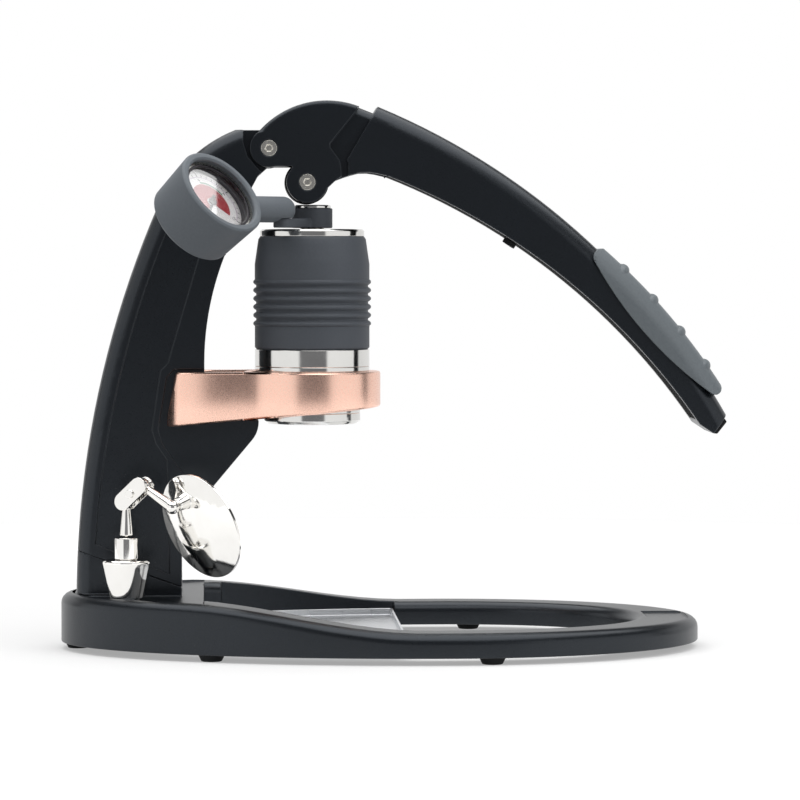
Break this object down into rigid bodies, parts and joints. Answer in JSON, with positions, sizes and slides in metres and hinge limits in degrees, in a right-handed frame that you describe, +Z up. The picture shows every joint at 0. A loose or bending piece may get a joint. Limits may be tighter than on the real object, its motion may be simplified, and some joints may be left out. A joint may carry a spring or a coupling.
{
  "type": "manual lever espresso maker",
  "caption": "Hand-lever espresso maker: curved post on a loop base, hinged lever pressing a plunger into a brew cylinder, with a gauge and a shot mirror.",
  "frame": {"origin": "centre of the bounding box, on the table under the feet", "axes": "+X along the lever towards its tip, +Y across the part away from the gauge, +Z up; the lever is down"},
  "size_m": [0.3366, 0.192, 0.2758],
  "materials": {
    "powder_coat": "matte",
    "foot_rubber": "matte",
    "black_plastic": "satin",
    "stainless": "brushed",
    "polished_steel": "polished",
    "bronze": "satin",
    "grip_silicone": "matte",
    "sleeve_silicone": "matte",
    "copper_finish": "satin",
    "dial_white": "matte",
    "needle_black": "satin",
    "lens_glass": "polished",
    "chrome_plate": "polished",
    "magnet": "satin",
    "mirror_face": "polished"
  },
  "bodies": {
    "frame": {"base_frame": "powder_coat", "base_feet": "foot_rubber", "post": "powder_coat", "post_stud": "stainless", "post_hand_nut": "black_plastic", "pivot_bush": "bronze"},
    "tray": {"drip_tray": "polished_steel"},
    "lever": {"lever_head": "powder_coat", "lever_handle": "powder_coat", "lever_cover": "powder_coat", "lever_grip": "grip_silicone", "lever_bumper": "foot_rubber", "lever_end_cap": "black_plastic", "pivot_pin": "stainless", "pivot_screw": "stainless", "press_pin": "stainless", "press_screw": "stainless"},
    "roller": {"press_roller": "black_plastic"},
    "brew_head": {"filter_ring": "copper_finish", "portafilter": "polished_steel", "portafilter_cap": "polished_steel", "basket_screen": "stainless", "dispersion_screen": "stainless", "brew_cylinder": "stainless", "cylinder_sleeve": "sleeve_silicone", "cylinder_seal": "foot_rubber"},
    "plunger": {"piston": "stainless", "piston_seals": "foot_rubber", "plunger_stem": "stainless", "stem_cap": "polished_steel", "stem_collar": "sleeve_silicone"},
    "gauge": {"gauge_arm": "sleeve_silicone", "gauge_boot": "sleeve_silicone", "gauge_case": "stainless", "gauge_socket": "bronze", "gauge_movement": "bronze", "gauge_dial": "dial_white", "gauge_lens": "lens_glass", "gauge_bezel": "polished_steel"},
    "needle": {"gauge_needle": "needle_black"},
    "mirror_stand": {"mirror_foot": "chrome_plate", "mirror_magnet": "magnet", "mirror_nut": "chrome_plate", "mirror_stem": "chrome_plate"},
    "mirror_link": {"mirror_link_plates": "chrome_plate", "mirror_link_screw": "chrome_plate"},
    "mirror_head": {"mirror_rod": "chrome_plate", "mirror_shell": "chrome_plate", "mirror_glass": "mirror_face"}
  },
  "joints": [
    {"name": "lever_swing", "type": "hinge", "parent": "frame", "child": "lever", "pos_m": [-0.06397, 0, 0.25195], "axis": [0, -1, 0], "range_deg": [0, 60]},
    {"name": "roller_spin", "type": "hinge", "parent": "lever", "child": "roller", "pos_m": [-0.0448, 0, 0.23499], "axis": [0, -1, 0], "continuous": true},
    {"name": "head_slide", "type": "slide", "parent": "frame", "child": "brew_head", "axis": [1, 0, 0], "range_m": [0, 0.05]},
    {"name": "plunger_lift", "type": "slide", "parent": "brew_head", "child": "plunger", "axis": [0, 0, 1], "range_m": [0, 0.0202]},
    {"name": "gauge_swing", "type": "hinge", "parent": "plunger", "child": "gauge", "pos_m": [-0.0575, -0.0255, 0.22109], "axis": [0, 0, 1], "range_deg": [0, 60]},
    {"name": "needle_turn", "type": "hinge", "parent": "gauge", "child": "needle", "pos_m": [-0.0956, -0.06857, 0.22109], "axis": [-0.5989, 0.5299, -0.6004], "range_deg": [0, 270], "stiffness_Nm_per_rad": 0.0002},
    {"name": "tray_lift", "type": "slide", "parent": "frame", "child": "tray", "axis": [0, 0, 1], "range_m": [0, 0.012]},
    {"name": "mirror_swing", "type": "hinge", "parent": "frame", "child": "mirror_stand", "pos_m": [-0.1353, -0.035, 0.0273], "axis": [0, 0, 1], "range_deg": [-60, 0]},
    {"name": "mirror_raise", "type": "hinge", "parent": "mirror_stand", "child": "mirror_link", "pos_m": [-0.1353, -0.035, 0.07635], "axis": [-0.5075, -0.8616, 0], "range_deg": [-5, 40]},
    {"name": "mirror_tilt", "type": "hinge", "parent": "mirror_link", "child": "mirror_head", "pos_m": [-0.12732, -0.0397, 0.08429], "axis": [-0.5075, -0.8616, 0], "range_deg": [-5, 40]}
  ],
  "couplings": [
    {"joint": "plunger_lift", "follows": "lever_swing", "m_per_rad": 0.019}
  ]
}
